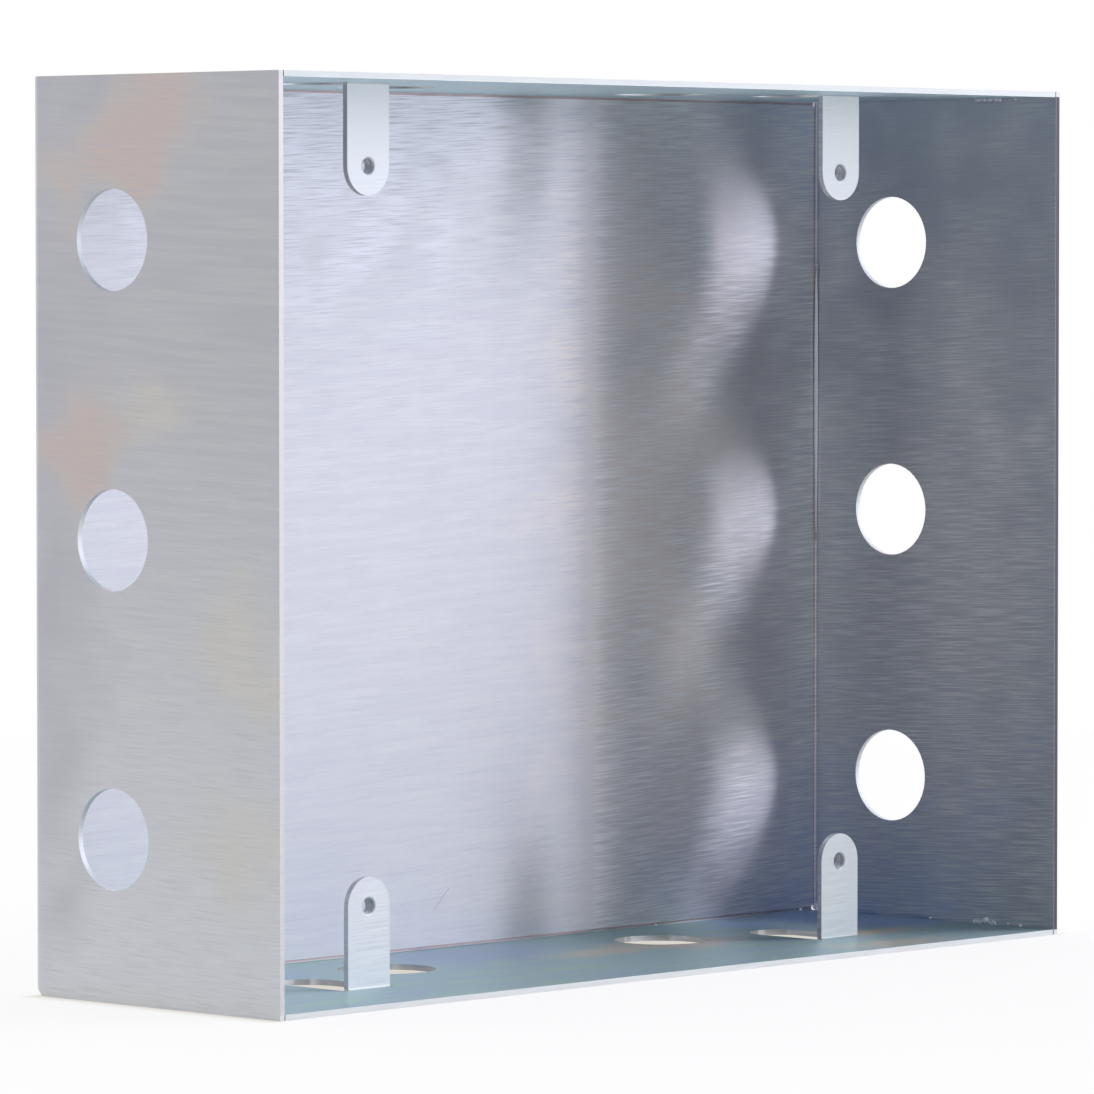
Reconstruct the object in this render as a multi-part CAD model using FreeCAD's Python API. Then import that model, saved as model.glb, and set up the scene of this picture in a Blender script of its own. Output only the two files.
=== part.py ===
import FreeCAD, Part
import math
import os

from FreeCAD import Vector

# Flush back box: one sheet of zinc plated steel, punched, lanced, folded and stitch welded at its corners.
# X runs across the box. Y runs from the open front, on the negative side, to the back. Z runs up.
# The origin is on the underside, below the middle of the box. Lengths are in millimetres.

# Outside of the box
width = 241.0
depth = 71.0
height = 186.0

# Sheet and folds
sheet = 1.2
fold_inside = 0.5
neutral_layer = 0.42  # share of the sheet between the inside of a fold and the layer that keeps its length
seam = 0.25  # open joint where the floor or the top meets a side wall
slit_width = 0.8  # slit that parts the two folds at a back corner
slit_past_fold = 0.6
corner_snip = 2.4  # snipped corner at the foot of each side fold

# Entries for 20 mm conduit, in all four walls
entry_bore = 20.5
entry_from_front = 47.5
side_entry_pitch = 60.0
end_entry_spacing = 85.0

# Tabs that take the screws of the front plate, lanced from the floor and from the top
tab_width = 12.0
tab_from_front = 22.5
screw_spacing_x = 146.0
screw_spacing_z = 150.0
punch_gap = 0.7  # cut around each tab

# Plunged holes in the tabs, tapped M3.5
screw_bore = 2.95
plunge_wall = 0.85
plunge_height = 1.3
plunge_mouth = 0.6  # rounding where the sheet is drawn into the hole

# Stitch weld inside each corner seam
weld_from_front = 19.5
weld_beads = 4
weld_pitch = 1.7
weld_radius = 1.0

# Worked out from the sizes above
fold_outside = fold_inside + sheet
front = -depth / 2
back = depth / 2
inner_half = width / 2 - sheet
entry_y = front + entry_from_front
tab_y = front + tab_from_front
tab_fold_y = tab_y - fold_inside
screw_z = (height - screw_spacing_z) / 2


def face_of(edges):
    return Part.Face(Part.Wire(edges))


def line(start, end):
    return Part.makeLine(start, end)


def arc(start, middle, end):
    return Part.Arc(start, middle, end).toShape()


def box_between(low, high):
    return Part.makeBox(high.x - low.x, high.y - low.y, high.z - low.z, low)


def fold_point(centre_x, centre_y, radius, degrees):
    turn = math.radians(degrees)
    return Vector(centre_x + radius * math.cos(turn), centre_y + radius * math.sin(turn), 0)


def channel(span, length):
    # U section, two walls folded forward from a back, extruded along Z.
    side = span / 2
    fold_x = side - fold_outside
    fold_y = back - fold_outside
    edges = []
    for radius, wall in ((fold_outside, side), (fold_inside, side - sheet)):
        left = [fold_point(-fold_x, fold_y, radius, turn) for turn in (180, 135, 90)]
        right = [fold_point(fold_x, fold_y, radius, turn) for turn in (90, 45, 0)]
        edges.append(line(Vector(-wall, front, 0), left[0]))
        edges.append(arc(*left))
        edges.append(line(left[2], right[0]))
        edges.append(arc(*right))
        edges.append(line(right[2], Vector(wall, front, 0)))
    for end in (-1, 1):
        edges.append(line(Vector(end * side, front, 0), Vector(end * (side - sheet), front, 0)))
    return face_of(Part.sortEdges(edges)[0]).extrude(Vector(0, 0, length))


def side_walls():
    # Left wall, back and right wall at full height, with the back cut clear of the two end folds.
    walls = channel(width, height)
    fold_x = width / 2 - fold_outside
    clear = fold_outside + slit_past_fold
    for low, high in ((0, clear), (height - clear, height)):
        strip = box_between(Vector(-fold_x, back - fold_outside, low), Vector(fold_x, back, high))
        walls = walls.cut(strip)
    corner = [Vector(-width / 2, back, 0), Vector(-width / 2, back - corner_snip, 0)]
    corner.append(Vector(-width / 2, back, corner_snip))
    snip = face_of(Part.makePolygon(corner + corner[:1]))
    snip = snip.extrude(Vector(fold_outside, 0, 0))
    walls = walls.cut(snip)
    return walls.cut(snip.translated(Vector(width - fold_outside, 0, 0)))


def end_walls():
    # Floor, back and top between the side walls, with the folds kept clear of the side folds.
    half = inner_half - seam
    walls = channel(height, 2 * half)
    walls.translate(Vector(0, 0, -half))
    walls.rotate(Vector(0, 0, 0), Vector(0, 1, 0), 90)
    walls.translate(Vector(0, 0, height / 2))
    fold_end = width / 2 - fold_outside - slit_width
    low = Vector(fold_end, back - fold_outside - slit_past_fold, 0)
    corner = box_between(low, Vector(half, back, height))
    walls = walls.cut(corner)
    return walls.cut(corner.mirror(Vector(0, 0, 0), Vector(1, 0, 0)))


def conduit_entries():
    radius = entry_bore / 2
    tools = []
    for step in (-1, 0, 1):
        start = Vector(-width / 2, entry_y, height / 2 + step * side_entry_pitch)
        tools.append(Part.makeCylinder(radius, width, start, Vector(1, 0, 0)))
    for side in (-1, 1):
        start = Vector(side * end_entry_spacing / 2, entry_y, 0)
        tools.append(Part.makeCylinder(radius, height, start, Vector(0, 0, 1)))
    return tools


def tongue(root, tip, half, along, thickness):
    # Flat strip with a full round end: it runs from root to the round's centre at tip.
    across = Vector(half, 0, 0)
    edges = [
        line(root - across, root + across),
        line(root + across, tip + across),
        arc(tip + across, tip + along * half, tip - across),
        line(tip - across, root - across),
    ]
    return face_of(edges).extrude(thickness)


def tab_opening(x):
    # The tab's flat blank, with the punch's gap all round, out of the floor.
    stretch = math.pi / 2 * (fold_inside + neutral_layer * sheet)
    tip_y = tab_fold_y + stretch + screw_z - fold_outside
    half = tab_width / 2 + punch_gap
    root = Vector(x, tab_fold_y, 0)
    return tongue(root, Vector(x, tip_y, 0), half, Vector(0, 1, 0), Vector(0, 0, sheet))


def tab(x):
    # The tab folded up from the floor, with its plunged hole.
    half = tab_width / 2
    root = Vector(x, tab_y, fold_outside)
    screw = Vector(x, tab_y, screw_z)
    plate = tongue(root, screw, half, Vector(0, 0, 1), Vector(0, sheet, 0))
    start = Vector(x - half, tab_fold_y, fold_outside)
    fold = Part.makeCylinder(fold_outside, tab_width, start, Vector(1, 0, 0))
    fold = fold.cut(Part.makeCylinder(fold_inside, tab_width, start, Vector(1, 0, 0)))
    quarter = box_between(Vector(x - half, tab_fold_y, 0), Vector(x + half, tab_y + sheet, fold_outside))
    fold = fold.common(quarter)
    radius = screw_bore / 2
    back_face = screw + Vector(0, sheet, 0)
    collar = Part.makeCylinder(radius + plunge_wall, plunge_height, back_face, Vector(0, 1, 0))
    through = sheet + plunge_height
    mouth = Vector(radius + plunge_mouth, 0, 0)
    neck = Vector(radius, plunge_mouth, 0)
    shoulder = plunge_mouth * (1 - math.sqrt(0.5))
    middle = Vector(radius + shoulder, shoulder, 0)
    bore = face_of([
        line(Vector(0, 0, 0), mouth),
        arc(mouth, middle, neck),
        line(neck, Vector(radius, through, 0)),
        line(Vector(radius, through, 0), Vector(0, through, 0)),
        line(Vector(0, through, 0), Vector(0, 0, 0)),
    ])
    bore = bore.revolve(Vector(0, 0, 0), Vector(0, 1, 0), 360)
    bore.translate(screw)
    return plate.fuse([fold, collar]).cut(bore)


def stitch_weld(side):
    # Overlapping beads along the seam between the floor and one side wall.
    beads = []
    for number in range(weld_beads):
        y = front + weld_from_front + (number - (weld_beads - 1) / 2) * weld_pitch
        beads.append(Part.makeSphere(weld_radius, Vector(side * inner_half, y, sheet)))
    return beads[0].fuse(beads[1:])


def with_top_copies(pieces):
    # Pieces of the floor, together with their mirror images for the top.
    middle = Vector(0, 0, height / 2)
    return pieces + [piece.mirror(middle, Vector(0, 0, 1)) for piece in pieces]


def back_box():
    sides = (-1, 1)
    tab_places = [side * screw_spacing_x / 2 for side in sides]
    shell = side_walls().fuse(end_walls())
    shell = shell.cut(conduit_entries() + with_top_copies([tab_opening(x) for x in tab_places]))
    tabs = with_top_copies([tab(x) for x in tab_places])
    welds = with_top_copies([stitch_weld(side) for side in sides])
    return shell.fuse(tabs + welds).removeSplitter()


os.makedirs("parts", exist_ok=True)
back_box().exportStep("parts/back_box.step")
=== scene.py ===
from functools import partial

import bpy
import numpy as np
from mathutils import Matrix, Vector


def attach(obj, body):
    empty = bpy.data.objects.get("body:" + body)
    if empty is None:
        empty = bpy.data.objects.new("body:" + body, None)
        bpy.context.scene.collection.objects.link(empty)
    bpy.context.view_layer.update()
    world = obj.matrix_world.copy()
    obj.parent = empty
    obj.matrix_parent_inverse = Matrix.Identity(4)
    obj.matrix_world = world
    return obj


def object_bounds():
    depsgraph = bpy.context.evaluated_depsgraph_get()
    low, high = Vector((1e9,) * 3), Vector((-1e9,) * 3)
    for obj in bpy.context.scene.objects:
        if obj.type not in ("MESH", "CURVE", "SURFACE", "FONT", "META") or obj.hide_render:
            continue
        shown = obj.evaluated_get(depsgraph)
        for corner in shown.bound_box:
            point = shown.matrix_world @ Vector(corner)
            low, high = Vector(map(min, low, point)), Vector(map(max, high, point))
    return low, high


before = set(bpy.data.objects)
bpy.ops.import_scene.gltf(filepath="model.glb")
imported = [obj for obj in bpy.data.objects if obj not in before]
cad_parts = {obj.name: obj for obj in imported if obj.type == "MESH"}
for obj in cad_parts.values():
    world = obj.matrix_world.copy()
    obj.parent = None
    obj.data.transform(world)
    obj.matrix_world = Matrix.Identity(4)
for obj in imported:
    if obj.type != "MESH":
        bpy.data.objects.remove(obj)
cadBox = [list(corner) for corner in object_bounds()]  # the CAD model's box, before anything is added
mm = 0.001
print("frame loaded:", sorted(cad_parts))


def linear(hexColour):  # an sRGB hex colour as linear red, green, blue and alpha
    codes = np.array([int(hexColour[i:i + 2], 16) for i in (1, 3, 5)]) / 255
    low = codes / 12.92
    high = ((codes + 0.055) / 1.055) ** 2.4
    return (*np.where(codes <= 0.04045, low, high).tolist(), 1.0)


def addNode(tree, kind, feeds, **settings):  # one node, with its settings, values and links
    node = tree.nodes.new(kind)
    for name, value in settings.items():
        setattr(node, name, value)
    for name, value in feeds.items():
        if isinstance(value, bpy.types.NodeSocket):
            tree.links.new(value, node.inputs[name])
        else:
            node.inputs[name].default_value = value
    return node


def newMaterial(name):
    material = bpy.data.materials.new(name)
    material.use_nodes = True
    material.node_tree.nodes.clear()
    return material, partial(addNode, material.node_tree)


def meshPiece(name, points, faces, material):  # points in metres and faces, as an object at the origin
    mesh = bpy.data.meshes.new(name)
    mesh.from_pydata(points.tolist(), [], faces)
    mesh.validate()
    mesh.update()
    mesh.materials.append(material)
    piece = bpy.data.objects.new(name, mesh)
    bpy.context.scene.collection.objects.link(piece)
    return piece


# Faces of the sheet in millimetres, worked out from the CAD model's box.
sheet = 1.2
boxLow, boxHigh = np.round(np.array(cadBox) / mm, 3)
boxMiddle = (boxLow + boxHigh) / 2
frontMiddle = np.array([boxMiddle[0], boxLow[1], boxMiddle[2]])
leftOutside = boxLow[0]
floorInside = boxLow[2] + sheet
rightInside, backInside, topInside = boxHigh - sheet

# How the steel tells one part of the sheet from another, in millimetres.
box = {
    "halfInside": np.array([rightInside, backInside, topInside]) - frontMiddle,
    "halfSheet": sheet / 2,
    "tabsFrom": 5.0,  # further in front of the back than this, faces to the front are tabs
    "filmDepth": 0.2,  # closer than this to the floor or top is on it
    "backDepth": 0.15,  # closer than this to the back is on it
    "rimDepth": 0.05,  # further than this past a wall's inside, or closer to the front, is on its edge
    "levelFrom": 0.7,  # upward share of a normal, from which a face counts as level
}

# Zinc plated steel, rolled and brushed along the sheet before it was folded, then passivated.
# The eye gets a cool light grey, fine streaks along the sheet that smear reflections up and down but hardly
# sideways, teal and blue films on the floor, dried pink and yellow patches, and pinkish lines in the folds.
steelLook = {
    "zinc": "#dfe1e4",
    "shade": "#dadce1",  # in broad brush marks
    "bandSize": (28.0, 1.6),  # length and width of a broad brush mark, in mm
    "bandContrast": (4.0, -1.5),  # gain and offset, from noise to share of colour
    "hairSize": (11.0, 0.3),  # real hairs, 0.05 mm wide, are finer than a pixel, so these are coarser
    "hairContrast": (3.4, -1.5),
    "morePaintedHairs": 0.1,  # more hairs in the right zone, where they are painted pale
    "tilt": 0.039,  # the marks climb this much along the sheet
    "lean": 0.25,  # how far a hair tips the light across the marks
    "roughness": 0.33,
    "metal": 0.86,  # the passivate film scatters the rest of the light
    "brushed": 1.0,  # marks smear light across themselves, hardly along
    "filmGloss": 0.0,  # the film has no gloss of its own
    "hairDark": "#ced0d6",  # hairs on the left of the sheet
    "paintedPaleHairs": "#ffffff",  # hairs on the right, inside: white as a painted highlight, standing in for light scattered from the bright reflection beside them
    "rightZoneFrom": (42.0, 46.0),  # along the sheet, mm
    "lobeSize": 17.0,  # lobes on the outlines of patches, mm
    "lobeContrast": (2.4, -1.2),
    "floorFilm": "#a6bdc8",
    "greenFilm": "#a9c6be",
    "topFilm": "#d4ebf1",
    "leftTab": "#e2e7e8",
    "rightTab": "#d3d9d8",
    "calm": 0.62,  # how much fainter the hairs are on the left wall
    # painted reflection of the pale floor on the foot of the left wall
    "paintedFloorReflection": "#f6fafd",
    "footReach": 131.0,  # up the left wall, mm
    "foldLine": "#dcc8c5",
    "foldLineAt": (0.48, 0.24),  # from the wall, and half its width, mm
    "sideRim": "#dcdad8",
    "floorRim": "#e6eae7",
    "topRim": "#d4d9d5",
    "darkRim": "#625d63",
    "scratch": ((-5.66, backInside, 9.36), (-0.72, backInside, 13.99)),
    "scratchWidth": 0.13,
    "scratchShade": "#c2c0c4",
}

# Where the passivate dried in patches, and three groups that are painted light: a painted reflection on the
# back, and painted shade on the back and on the right wall. Each group has its spots, as centre and half
# size in mm, and its
# steps from rim to middle: where a colour starts, where it is full, its share, and the colour.
patchDepth = 0.8  # half size of a patch through the sheet
driedPatches = {
    "underFilm": {
        "blueAtEnds": {
            "spots": (
                ((rightInside, 30.0, 3.0), (48.0, 60.0, 42.0)),
                ((rightInside, 26.0, 186.0), (40.0, 64.0, 28.0)),
            ),
            "steps": ((1.4, 0.2, 0.9, "#e2e8f9"),),
        },
        # Painted reflection: a pale warm band up the back, standing in for the smeared reflections of the
        # holes.
        "paintedReflectionOnBack": {
            "spots": (((62.0, backInside, 92.0), (24.0, patchDepth, 95.0)),),
            "steps": ((1.6, 0.3, 0.85, "#f5eee8"),),
        },
        "paleOnBack": {
            "spots": (((-36.0, backInside, 182.0), (54.0, patchDepth, 34.0)),),
            "steps": ((1.3, 0.5, 0.8, "#edf0f8"),),
        },
        "lavenderOnLeftWall": {
            "spots": (
                ((leftOutside, 23.0, 183.0), (patchDepth, 15.0, 12.0)),
                ((leftOutside, 29.0, 90.0), (patchDepth, 11.0, 70.0)),
            ),
            "steps": ((1.6, 0.1, 0.7, "#d3d2db"),),
        },
        "yellowOnLeftWall": {
            "spots": (
                ((leftOutside, -24.0, 69.0), (patchDepth, 13.0, 12.0)),
                ((leftOutside, -25.0, 31.0), (patchDepth, 12.0, 10.0)),
                ((leftOutside, -1.0, 119.0), (patchDepth, 11.0, 6.0)),
            ),
            "steps": ((1.5, 0.4, 0.5, "#f4efdf"),),
        },
        "pinkOnLeftWall": {
            "spots": (
                ((leftOutside, -1.0, 180.0), (patchDepth, 11.0, 13.0)),
                ((leftOutside, 8.0, 170.0), (patchDepth, 17.0, 7.0)),
                ((leftOutside, 26.0, 164.0), (patchDepth, 7.0, 9.0)),
                ((leftOutside, 19.5, 110.0), (patchDepth, 10.5, 12.0)),
            ),
            "steps": ((1.6, 0.8, 0.7, "#e5e3de"), (1.3, 0.5, 0.9, "#ebdcd6")),
        },
    },
    "onFilm": {
        "purpleOnFloor": {
            "spots": (((-8.0, 17.0, floorInside), (36.0, 15.0, patchDepth)),),
            "steps": ((1.3, 0.5, 1.0, "#a6b8cb"),),
        },
        "greenOnFloor": {
            "spots": (((52.0, 25.0, floorInside), (30.0, 9.0, patchDepth)),),
            "steps": ((1.3, 0.5, 1.0, "#a3c3c2"),),
        },
        "blueInCorner": {
            "spots": (((106.0, 16.0, floorInside), (30.0, 28.0, patchDepth)),),
            "steps": ((1.3, 0.4, 1.0, "#a8c1e0"),),
        },
        "brownOnFloor": {
            "spots": (
                ((32.0, 3.0, floorInside), (28.0, 9.0, patchDepth)),
                ((70.0, -29.0, floorInside), (17.0, 6.0, patchDepth)),
                ((90.0, -10.0, floorInside), (14.0, 5.0, patchDepth)),
            ),
            "steps": ((1.35, 0.95, 1.0, "#b6c4c1"), (0.95, 0.5, 1.0, "#cac6b9")),
        },
    },
    "overHairs": {
        # Painted shade: a darker band up the back near the right corner, where the back reflects the dark
        # right wall.
        "paintedShadeOnBack": {
            "spots": (((97.0, backInside, 93.0), (11.0, patchDepth, 100.0)),),
            "steps": ((1.7, 0.2, 0.6, "#b4b3b9"),),
        },
        # Painted shade: the right wall inside is darker towards the top, under the top panel.
        "paintedShadeOnRightWall": {
            "spots": (((rightInside, 0.0, 186.0), (patchDepth, 70.0, 52.0)),),
            "steps": ((1.7, 0.2, 0.75, "#b5bac8"),),
        },
    },
}


def zincSteel(look, patches):
    material, add = newMaterial("zincPlatedSteelBrushed")
    coords = add("ShaderNodeTexCoord", {})
    spot = coords.outputs["Object"]
    x, y, z = add("ShaderNodeSeparateXYZ", {0: spot}).outputs
    facing = add("ShaderNodeVectorMath", {0: coords.outputs["Normal"]}, operation="ABSOLUTE").outputs[0]
    sideFace, frontFace, flatFace = add("ShaderNodeSeparateXYZ", {0: facing}).outputs

    # How far each point lies inside the side walls, the back, and the floor or top.
    offset = add("ShaderNodeVectorMath", {0: spot, 1: (frontMiddle * mm).tolist()},
                 operation="SUBTRACT").outputs[0]
    sign = add("ShaderNodeVectorMath", {0: offset}, operation="SIGN").outputs[0]
    offset = add("ShaderNodeVectorMath", {0: offset}, operation="ABSOLUTE").outputs[0]
    inset = add("ShaderNodeVectorMath", {0: (box["halfInside"] * mm).tolist(), 1: offset},
                operation="SUBTRACT").outputs[0]
    fromSide, fromBack, fromEnd = add("ShaderNodeSeparateXYZ", {0: inset}).outputs
    fromWall = add("ShaderNodeMath", {0: fromSide, 1: fromEnd}, operation="MINIMUM").outputs[0]
    fromSkin = add("ShaderNodeMath", {0: fromWall, 1: fromBack}, operation="MINIMUM").outputs[0]
    inside = add("ShaderNodeMath", {0: fromSkin, 1: -box["halfSheet"] * mm},
                 operation="GREATER_THAN").outputs[0]

    # Place on the flat sheet: along it is X, then round the folds onto the side walls. Up it is Z, then
    # round the folds onto the floor and top. The brush marks climb a little.
    sideSign, _, endSign = add("ShaderNodeSeparateXYZ", {0: sign}).outputs
    wall = add("ShaderNodeMath", {0: fromBack, 1: sideFace}, operation="MULTIPLY").outputs[0]
    end = add("ShaderNodeMath", {0: fromBack, 1: wall}, operation="SUBTRACT").outputs[0]
    along = add("ShaderNodeMath", {0: wall, 1: sideSign, 2: x}, operation="MULTIPLY_ADD").outputs[0]
    upward = add("ShaderNodeMath", {0: end, 1: endSign, 2: z}, operation="MULTIPLY_ADD").outputs[0]
    across = add("ShaderNodeMath", {0: along, 1: -look["tilt"], 2: upward},
                 operation="MULTIPLY_ADD").outputs[0]
    sheetPlace = add("ShaderNodeCombineXYZ", {0: along, 1: across}).outputs[0]
    marks = []
    for (length, width), detail in ((look["bandSize"], 0.0), (look["hairSize"], 1.0)):
        scaled = add("ShaderNodeVectorMath", {0: sheetPlace, 1: (1 / (length * mm), 1 / (width * mm), 1.0)},
                     operation="MULTIPLY").outputs[0]
        marks.append(add("ShaderNodeTexNoise", {"Vector": scaled, "Scale": 1.0, "Detail": detail},
                         noise_dimensions="2D").outputs[0])
    band, hair = marks
    upright = add("ShaderNodeMath", {0: flatFace, 1: box["levelFrom"]}, operation="LESS_THAN").outputs[0]
    level = add("ShaderNodeMath", {0: 1.0, 1: upright}, operation="SUBTRACT").outputs[0]
    smear = add("ShaderNodeCombineXYZ", {1: level, 2: upright}).outputs[0]  # across the marks
    lean = add("ShaderNodeMath", {0: hair, 1: look["lean"], 2: -0.5 * look["lean"]},
               operation="MULTIPLY_ADD").outputs[0]
    lean = add("ShaderNodeVectorMath", {0: smear, "Scale": lean}, operation="SCALE").outputs[0]
    normal = add("ShaderNodeVectorMath", {0: coords.outputs["Normal"], 1: lean}, operation="ADD").outputs[0]
    normal = add("ShaderNodeVectorMath", {0: normal}, operation="NORMALIZE").outputs[0]
    gain, base = look["bandContrast"]
    bandShare = add("ShaderNodeMath", {0: band, 1: gain, 2: base}, operation="MULTIPLY_ADD").outputs[0]
    colour = add("ShaderNodeMix", {0: bandShare, 6: linear(look["shade"]), 7: linear(look["zinc"])},
                 data_type="RGBA").outputs[2]

    # Dried patches and patches of painted reflection and painted shade, with lobed outlines, and a teal film
    # on the inside of the floor and top.
    lobes = add("ShaderNodeTexNoise", {
        "Vector": spot, "Scale": 1 / (look["lobeSize"] * mm), "Detail": 1.0,
    }).outputs[0]
    gain, base = look["lobeContrast"]
    lobes = add("ShaderNodeMath", {0: lobes, 1: gain, 2: base}, operation="MULTIPLY_ADD").outputs[0]

    def dried(colour, groups):  # the colour with groups of patches laid over it
        for group in groups.values():
            distances = []
            for centre, half in group["spots"]:
                size = np.array(half) * mm
                shift = -np.array(centre) * mm / size
                reach = add("ShaderNodeVectorMath", {0: spot, 1: (1 / size).tolist(), 2: shift.tolist()},
                            operation="MULTIPLY_ADD").outputs[0]
                length = add("ShaderNodeVectorMath", {0: reach}, operation="LENGTH").outputs["Value"]
                distances.append(length)
            nearest = distances.pop()
            for distance in distances:
                nearest = add("ShaderNodeMath", {0: distance, 1: nearest}, operation="MINIMUM").outputs[0]
            lobed = add("ShaderNodeMath", {0: nearest, 1: lobes}, operation="ADD").outputs[0]
            for start, full, most, tint in group["steps"]:
                slope = most / (full - start)
                share = add("ShaderNodeMath", {0: lobed, 1: slope, 2: -start * slope},
                            operation="MULTIPLY_ADD").outputs[0]
                share = add("ShaderNodeMath", {0: share, 1: most}, operation="MINIMUM").outputs[0]
                colour = add("ShaderNodeMix", {0: share, 6: colour, 7: linear(tint)},
                             data_type="RGBA").outputs[2]
        return colour

    # The foot of the left wall is paler: a painted reflection of the pale floor, fading out up the wall.
    onLeft = add("ShaderNodeMath", {0: along, 1: -box["halfInside"][0] * mm},
                 operation="LESS_THAN").outputs[0]
    low = add("ShaderNodeMath", {0: z, 1: -1 / (look["footReach"] * mm), 2: 1.0},
              operation="MULTIPLY_ADD").outputs[0]
    low = add("ShaderNodeMath", {0: low, 1: onLeft}, operation="MULTIPLY").outputs[0]
    colour = add("ShaderNodeMix", {0: low, 6: colour, 7: linear(look["paintedFloorReflection"])},
                 data_type="RGBA").outputs[2]
    colour = dried(colour, patches["underFilm"])
    onEnd = add("ShaderNodeMath", {0: fromEnd, 1: 0.0, 2: box["filmDepth"] * mm},
                operation="COMPARE").outputs[0]
    onEnd = add("ShaderNodeMath", {0: onEnd, 1: level}, operation="MULTIPLY").outputs[0]
    onTop = add("ShaderNodeMath", {0: endSign, 1: 0.0}, operation="GREATER_THAN").outputs[0]
    film = add("ShaderNodeMix", {0: bandShare, 6: linear(look["floorFilm"]), 7: linear(look["greenFilm"])},
               data_type="RGBA").outputs[2]
    film = add("ShaderNodeMix", {0: onTop, 6: film, 7: linear(look["topFilm"])}, data_type="RGBA").outputs[2]
    colour = add("ShaderNodeMix", {0: onEnd, 6: colour, 7: film}, data_type="RGBA").outputs[2]
    colour = dried(colour, patches["onFilm"])

    # Hairs over all but the film and the tabs, faint on the left wall: dull, but inside on the right painted
    # bright, a painted highlight of light scattered from the bright reflection beside them.
    rightZoneStart, rightZoneFull = look["rightZoneFrom"]
    slope = 1 / (rightZoneFull - rightZoneStart) / mm
    rightZone = add("ShaderNodeMath", {0: along, 1: slope, 2: -rightZoneStart * mm * slope},
                 operation="MULTIPLY_ADD", use_clamp=True).outputs[0]
    rightZone = add("ShaderNodeMath", {0: rightZone, 1: inside}, operation="MULTIPLY").outputs[0]
    inFront = add("ShaderNodeMath", {0: fromBack, 1: box["tabsFrom"] * mm},
                  operation="GREATER_THAN").outputs[0]
    onTab = add("ShaderNodeMath", {0: frontFace, 1: inFront}, operation="MULTIPLY").outputs[0]
    calm = add("ShaderNodeMath", {0: onLeft, 1: -look["calm"], 2: 1.0}, operation="MULTIPLY_ADD").outputs[0]
    gain, base = look["hairContrast"]
    base = add("ShaderNodeMath", {0: rightZone, 1: look["morePaintedHairs"], 2: base},
               operation="MULTIPLY_ADD").outputs[0]
    hairShare = add("ShaderNodeMath", {0: hair, 1: gain, 2: base},
                    operation="MULTIPLY_ADD", use_clamp=True).outputs[0]
    hairShare = add("ShaderNodeMath", {0: hairShare, 1: calm}, operation="MULTIPLY").outputs[0]
    bare = add("ShaderNodeMath", {0: onEnd, 1: onTab}, operation="MAXIMUM").outputs[0]
    hairShare = add("ShaderNodeMath", {0: hairShare, 1: bare}, operation="SUBTRACT").outputs[0]
    tabTint = add("ShaderNodeMix", {0: rightZone, 6: linear(look["leftTab"]), 7: linear(look["rightTab"])},
                  data_type="RGBA").outputs[2]
    colour = add("ShaderNodeMix", {0: onTab, 6: colour, 7: tabTint}, data_type="RGBA").outputs[2]
    # Painted highlight: inside on the right the hairs take white in place of the light they would scatter.
    hairTint = add("ShaderNodeMix", {0: rightZone, 6: linear(look["hairDark"]), 7: linear(look["paintedPaleHairs"])},
                   data_type="RGBA").outputs[2]
    colour = add("ShaderNodeMix", {0: hairShare, 6: colour, 7: hairTint}, data_type="RGBA").outputs[2]
    colour = dried(colour, patches["overHairs"])

    # Pinkish lines where the back meets its folds.
    middle, half = look["foldLineAt"]
    byFold = add("ShaderNodeMath", {0: fromWall, 1: middle * mm, 2: half * mm},
                 operation="COMPARE").outputs[0]
    onBack = add("ShaderNodeMath", {0: fromBack, 1: 0.0, 2: box["backDepth"] * mm},
                 operation="COMPARE").outputs[0]
    tints = [(byFold, onBack, look["foldLine"])]

    # A short scratch on the back: points closer to its line than half its width.
    start, stop = (np.array(point) * mm for point in look["scratch"])
    run = float(np.linalg.norm(stop - start))
    fromStart = add("ShaderNodeVectorMath", {0: spot, 1: start.tolist()}, operation="SUBTRACT").outputs[0]
    way = ((stop - start) / run).tolist()
    gone = add("ShaderNodeVectorMath", {0: fromStart, 1: way}, operation="DOT_PRODUCT").outputs["Value"]
    gone = add("ShaderNodeClamp", {0: gone, 1: 0.0, 2: run}).outputs[0]
    foot = add("ShaderNodeVectorMath", {0: way, "Scale": gone}, operation="SCALE").outputs[0]
    clear = add("ShaderNodeVectorMath", {0: fromStart, 1: foot}, operation="DISTANCE").outputs["Value"]
    inScratch = add("ShaderNodeMath", {0: clear, 1: look["scratchWidth"] / 2 * mm},
                    operation="LESS_THAN").outputs[0]
    tints.append((inScratch, onBack, look["scratchShade"]))

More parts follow.
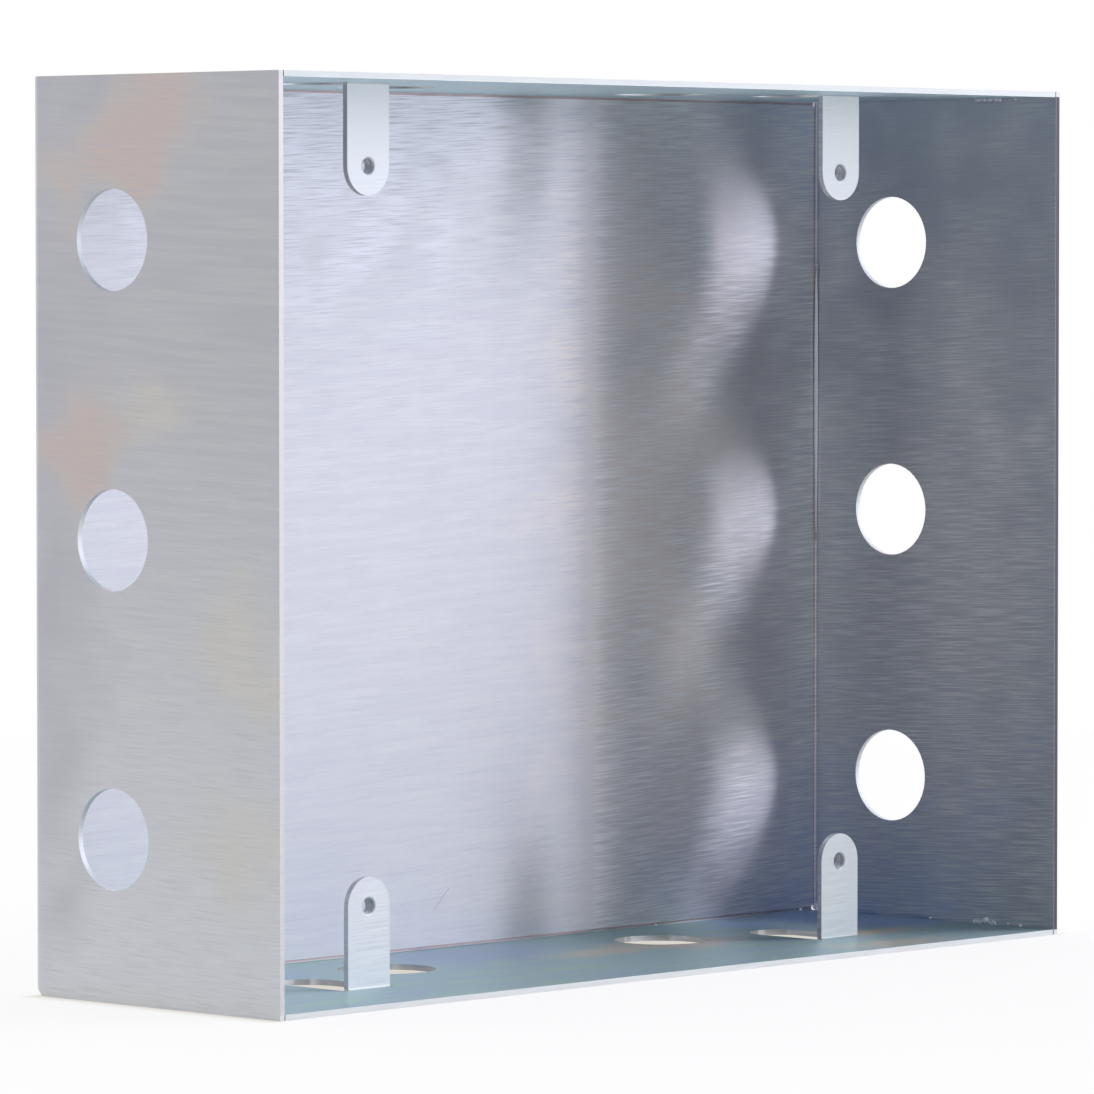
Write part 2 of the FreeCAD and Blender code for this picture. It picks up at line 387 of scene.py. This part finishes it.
    # Sheared front edges: pale on the left, below and above, and dull on the right.
    atFront = add("ShaderNodeMath", {0: y, 1: (frontMiddle[1] + box["rimDepth"]) * mm},
                  operation="LESS_THAN").outputs[0]
    inSideRim = add("ShaderNodeMath", {0: fromSide, 1: -box["rimDepth"] * mm},
                    operation="LESS_THAN").outputs[0]
    inEndRim = add("ShaderNodeMath", {0: fromEnd, 1: -box["rimDepth"] * mm},
                   operation="LESS_THAN").outputs[0]
    onRight = add("ShaderNodeMath", {0: inSideRim, 1: sideSign},
                  operation="MULTIPLY", use_clamp=True).outputs[0]
    inTopRim = add("ShaderNodeMath", {0: inEndRim, 1: onTop}, operation="MULTIPLY").outputs[0]
    for rim, tint in ((inSideRim, look["sideRim"]), (onRight, look["darkRim"]), (inEndRim, look["floorRim"]),
                      (inTopRim, look["topRim"])):
        share = add("ShaderNodeMath", {0: rim, 1: atFront}, operation="MULTIPLY").outputs[0]
        colour = add("ShaderNodeMix", {0: share, 6: colour, 7: linear(tint)}, data_type="RGBA").outputs[2]
    for part, place, tint in tints:
        share = add("ShaderNodeMath", {0: part, 1: place}, operation="MULTIPLY").outputs[0]
        colour = add("ShaderNodeMix", {0: share, 6: colour, 7: linear(tint)}, data_type="RGBA",
                     blend_type="MULTIPLY").outputs[2]
    shader = add("ShaderNodeBsdfPrincipled", {
        "Base Color": colour, "Metallic": look["metal"], "Roughness": look["roughness"],
        "Specular IOR Level": look["filmGloss"], "Anisotropic": look["brushed"],
        "Tangent": smear, "Normal": normal,
    })
    add("ShaderNodeOutputMaterial", {0: shader.outputs[0]})
    return material


steel = zincSteel(steelLook, driedPatches)
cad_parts["back_box"].material_slots[0].material = steel
print("steel on the box")


def closedTube(rings, spokes):  # side faces and the two caps of a tube of rings of points
    index = np.arange(rings * spokes).reshape(rings, spokes)
    after = np.roll(index, -1, 1)
    sides = np.stack([index[:-1], after[:-1], after[1:], index[1:]], -1).reshape(-1, 4)
    return sides, np.stack([index[0][::-1], index[-1]])


def joinedTubes(grids):  # many tubes of one size as one array of points and one list of faces
    count, rings, spokes, _ = grids.shape
    firsts = np.arange(count) * rings * spokes
    faces = [face for kind in closedTube(rings, spokes)
             for face in (firsts[:, None, None] + kind).reshape(-1, kind.shape[1]).tolist()]
    return grids.reshape(-1, 3), faces


# Thread rolled into the four plunged holes, M3.5.
thread = {
    "spacing": (146.0, 150.0),  # between the holes, across and up, mm
    "start": 23.15,  # from the front of the box
    "pitch": 0.6,
    "turns": 2.8,
    "stepsPerTurn": 40,
    "bore": 1.475,
    "sunk": 0.04,
    "crest": 0.17,
    "rootHalf": 0.26,
    "crestHalf": 0.07,
    "runOut": 0.3,  # turns over which the ridge rises from the wall
    "leastRise": 0.05,  # share of the ridge that is left at its ends
}


def tabThreads(look, material):
    # A ridge carried along a helix: at turn t its centre line is at angle 2 pi t round the hole and at
    # start + pitch t along it. The section has four points. Its crest rises from the wall over the run-out.
    turn = np.linspace(0, look["turns"], int(look["turns"] * look["stepsPerTurn"]) + 1)
    rise = np.clip(np.minimum(turn, look["turns"] - turn) / look["runOut"], look["leastRise"], 1)
    root = look["bore"] + look["sunk"]
    radius = root - np.outer(rise * (look["crest"] + look["sunk"]), [0, 1, 1, 0])
    aside = np.array([-look["rootHalf"], -look["crestHalf"], look["crestHalf"], look["rootHalf"]])
    depth = frontMiddle[1] + look["start"] + look["pitch"] * turn[:, None] + rise[:, None] * aside
    angle = 2 * np.pi * turn[:, None]
    ridge = np.stack([radius * np.cos(angle), depth, -radius * np.sin(angle)], -1)
    halfAcross, halfUp = np.array(look["spacing"]) / 2
    places = np.array([(frontMiddle[0] + x * halfAcross, 0, frontMiddle[2] + z * halfUp)
                       for z in (-1, 1) for x in (-1, 1)])
    points, faces = joinedTubes((places[:, None, None] + ridge[None]) * mm)
    piece = meshPiece("tabThreads", points, faces, material)
    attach(piece, "root")


tabThreads(thread, steel)
print("threads cut")

# Weld spatter and plating nodules beside the seams and folds, and a pale run down one fold that paints the
# fold's highlight line.
spatter = {
    "drops": (  # X, Y, Z and radius of each, mm
        (118.55, -16.8, 2.0, 0.72), (119.05, -22.6, 1.5, 0.3), (118.8, -26.4, 1.4, 0.4),
        (118.9, -13.1, 1.6, 0.35), (119.1, -0.1, 1.4, 0.3),
        (119.1, 34.1, 147.9, 0.32), (119.1, 34.1, 87.5, 0.35),
        (65.1, 34.1, 1.4, 0.3), (114.1, 34.1, 1.5, 0.38),
        (118.9, -19.9, 184.5, 0.4), (119.05, -24.2, 184.6, 0.3),
        (-119.0, -21.9, 1.5, 0.45), (-118.8, -11.2, 1.4, 0.3),
        (-119.0, -20.6, 184.5, 0.4), (-118.9, -25.0, 184.6, 0.3),
    ),
    # a painted highlight down the back right fold, drawn as a long pale bead
    "run": (118.85, 33.85, 117.7, 0.45),
    "runStretch": 67.0,  # how many times longer than wide
    "rings": 9,
    "spokes": 16,
    "poleGap": 0.12,  # radians, closed by a flat cap
    "lumps": 0.14,  # how far the skin wanders from a ball, as a share of the radius
    # a near-white colour that paints the glints on the beads and on the run
    "paintedGlintWhite": "#fbfbfb",
    "metal": 0.3,
    "roughness": 0.35,
}


def spatterZinc(look):
    # Zinc beads, cast as they flew, in a near-white colour that is a painted glint, so that they show white
    # from every side.
    material, add = newMaterial("zincSpatterPaintedGlint")
    shader = add("ShaderNodeBsdfPrincipled", {"Base Color": linear(look["paintedGlintWhite"]), "Metallic": look["metal"],
                                              "Roughness": look["roughness"]})
    add("ShaderNodeOutputMaterial", {0: shader.outputs[0]})
    return material


def weldSpatterAndGlints(look, material):
    # Lumpy balls: at angle v down from the top and u round it, the radius is
    # 1 + lumps sin(3u + place) sin(2v + place). The run, a painted highlight line, is one more ball, drawn
    # out up and down.
    drops = np.array([*look["drops"], look["run"]])
    v, u = np.meshgrid(np.linspace(np.pi - look["poleGap"], look["poleGap"], look["rings"]),
                       np.arange(look["spokes"]) / look["spokes"] * 2 * np.pi, indexing="ij")
    ball = np.stack([np.sin(v) * np.cos(u), np.sin(v) * np.sin(u), np.cos(v)], -1)
    phase = drops[:, 1, None, None]
    skin = 1 + look["lumps"] * np.sin(3 * u + phase) * np.sin(2 * v + phase)
    balls = (drops[:, 3, None, None] * skin)[..., None] * ball
    balls[-1, ..., 2] *= look["runStretch"]
    grids = drops[:, None, None, :3] + balls
    points, faces = joinedTubes(grids * mm)
    piece = meshPiece("weldSpatterAndGlints", points, faces, material)
    piece.data.shade_smooth()
    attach(piece, "root")


weldSpatterAndGlints(spatter, spatterZinc(spatter))
print("spatter on the seams")

# Pale studio paper: matt, lit from within so that the box leaves only a faint shadow.
paperLook = {
    "reach": 0.75,  # metres
    "innerRing": 0.02,  # share of the reach
    "rings": 24,
    "spokes": 96,
    "paper": "#f2f2f2",
    "glow": 1.06,
    "glowOnBox": 0.62,  # what the box sees of it
    "glowShare": 0.8,
    "footprint": (0.1195, 0.0345, 1.0),  # half the box's footprint, in metres
    "inLight": "#ffffff",
    "underBox": "#e0dace",  # shaded by the box, seen through its floor
    "underFade": 0.05,  # share of the footprint over which that shade ends
}


def studioFloor(look):
    # A flat disc: each ring's radius is its share of the reach, and the angle runs once round.
    radius, angle = np.meshgrid(np.linspace(look["innerRing"], 1, look["rings"]) * look["reach"],
                                np.arange(look["spokes"]) / look["spokes"] * 2 * np.pi, indexing="ij")
    points = np.stack([radius * np.cos(angle), radius * np.sin(angle), 0 * radius], -1).reshape(-1, 3)
    index = np.arange(points.shape[0]).reshape(radius.shape)
    after = np.roll(index, -1, 1)
    faces = np.stack([index[:-1], index[1:], after[1:], after[:-1]], -1).reshape(-1, 4).tolist()
    faces.append(index[0].tolist())
    material, add = newMaterial("paleStudioPaper")
    matt = add("ShaderNodeBsdfDiffuse", {"Color": linear(look["paper"])})
    seen = add("ShaderNodeLightPath", {}).outputs["Is Camera Ray"]
    strength = add("ShaderNodeMath", {0: seen, 1: look["glow"] - look["glowOnBox"], 2: look["glowOnBox"]},
                   operation="MULTIPLY_ADD").outputs[0]
    spot = add("ShaderNodeTexCoord", {}).outputs["Object"]
    across = add("ShaderNodeVectorMath", {0: spot, 1: look["footprint"]}, operation="DIVIDE").outputs[0]
    across = add("ShaderNodeVectorMath", {0: across}, operation="ABSOLUTE").outputs[0]
    acrossX, acrossY, _ = add("ShaderNodeSeparateXYZ", {0: across}).outputs
    outside = add("ShaderNodeMath", {0: acrossX, 1: acrossY}, operation="MAXIMUM").outputs[0]
    slope = 1 / look["underFade"]
    under = add("ShaderNodeMath", {0: outside, 1: -slope, 2: 1 + slope}, operation="MULTIPLY_ADD",
                use_clamp=True).outputs[0]
    shade = add("ShaderNodeMix", {0: under, 6: linear(look["inLight"]), 7: linear(look["underBox"])},
                data_type="RGBA").outputs[2]
    glow = add("ShaderNodeEmission", {"Color": shade, "Strength": strength})
    mix = add("ShaderNodeMixShader", {0: look["glowShare"], 1: matt.outputs[0], 2: glow.outputs[0]})
    add("ShaderNodeOutputMaterial", {0: mix.outputs[0]})
    material.cycles.emission_sampling = "NONE"  # broad and even, so reflection alone finds it
    floor = meshPiece("studioFloor", points, faces, material)


studioFloor(paperLook)
print("floor laid")

# Soft studio surround: light panels of three brightnesses that blend into each other round the box.
# The photographer's side is darkest, and less comes from behind. The camera itself sees plain white.
surround = {
    "frontRight": (1.535, 1.530, 1.740),
    "leftBack": (0.658, 0.644, 0.662),
    "cameraSide": (0.036, 0.056, 0.105),
    "mostFromBehind": (0.95, 0.95, 0.98),
    "behindFade": 0.5,  # how far to the front, as a share of Y, that limit fades out
    "squash": (1.0, 1.0, 0.8),  # panels reach a little further up and down
    "towardsFrontRight": (0.73, -0.68, 0.0),
    "towardsCamera": (-0.73, -0.68, 0.0),
    "seenDirectly": "#ffffff",
}


def studioSurround(look):
    world = bpy.data.worlds.new("studioSurround")
    world.use_nodes = True
    world.node_tree.nodes.clear()
    bpy.context.scene.world = world
    world.cycles.sampling_method = "NONE"  # broad and even, so reflection alone finds it
    add = partial(addNode, world.node_tree)
    right, left, camera = (np.array(look[name]) for name in ("frontRight", "leftBack", "cameraSide"))
    mean = (right + left) / 2
    direction = add("ShaderNodeTexCoord", {}).outputs["Generated"]
    direction = add("ShaderNodeVectorMath", {0: direction, 1: look["squash"]},
                    operation="MULTIPLY").outputs[0]
    direction = add("ShaderNodeVectorMath", {0: direction}, operation="NORMALIZE").outputs[0]
    colour = add("ShaderNodeCombineXYZ", {i: float(mean[i]) for i in range(3)}).outputs[0]
    for side, swing in ((look["towardsFrontRight"], (right - left) / 2),
                        (look["towardsCamera"], camera - mean)):
        share = add("ShaderNodeVectorMath", {0: direction, 1: side},
                    operation="DOT_PRODUCT").outputs["Value"]
        part = add("ShaderNodeVectorMath", {0: swing.tolist(), "Scale": share}, operation="SCALE").outputs[0]
        colour = add("ShaderNodeVectorMath", {0: colour, 1: part}, operation="ADD").outputs[0]
    _, backward, _ = add("ShaderNodeSeparateXYZ", {0: direction}).outputs
    behind = add("ShaderNodeMath", {0: backward, 1: 1 / look["behindFade"], 2: 1.0},
                 operation="MULTIPLY_ADD", use_clamp=True).outputs[0]
    most = add("ShaderNodeVectorMath", {0: colour, 1: look["mostFromBehind"]},
               operation="MINIMUM").outputs[0]
    colour = add("ShaderNodeMix", {0: behind, 4: colour, 5: most}, data_type="VECTOR").outputs[1]
    seen = add("ShaderNodeLightPath", {}).outputs["Is Camera Ray"]
    panels = add("ShaderNodeBackground", {0: colour, 1: 1.0})
    white = add("ShaderNodeBackground", {0: linear(look["seenDirectly"]), 1: 1.0})
    mix = add("ShaderNodeMixShader", {0: seen, 1: panels.outputs[0], 2: white.outputs[0]})
    add("ShaderNodeOutputWorld", {0: mix.outputs[0]})


studioSurround(surround)
print("light set")

# Camera at the photograph's angle: a long lens, from the front left and a little above the middle.
cameraView = {
    "place": (-1069.24, -998.75, 148.71),  # mm
    "turn": (87.639, 0.0, -46.78),  # degrees
    "lens": 227.88,
    "sensor": 36.0,
    "clipEnd": 20.0,  # metres
}


def photoCamera(look):
    data = bpy.data.cameras.new("photoCamera")
    data.lens = look["lens"]
    data.sensor_width = look["sensor"]
    data.sensor_fit = "HORIZONTAL"
    data.clip_end = look["clipEnd"]
    camera = bpy.data.objects.new("photoCamera", data)
    camera.location = np.array(look["place"]) * mm
    camera.rotation_euler = np.radians(look["turn"])
    bpy.context.scene.collection.objects.link(camera)
    bpy.context.scene.camera = camera
    bpy.context.scene.view_settings.view_transform = "Standard"


photoCamera(cameraView)
print("camera placed")
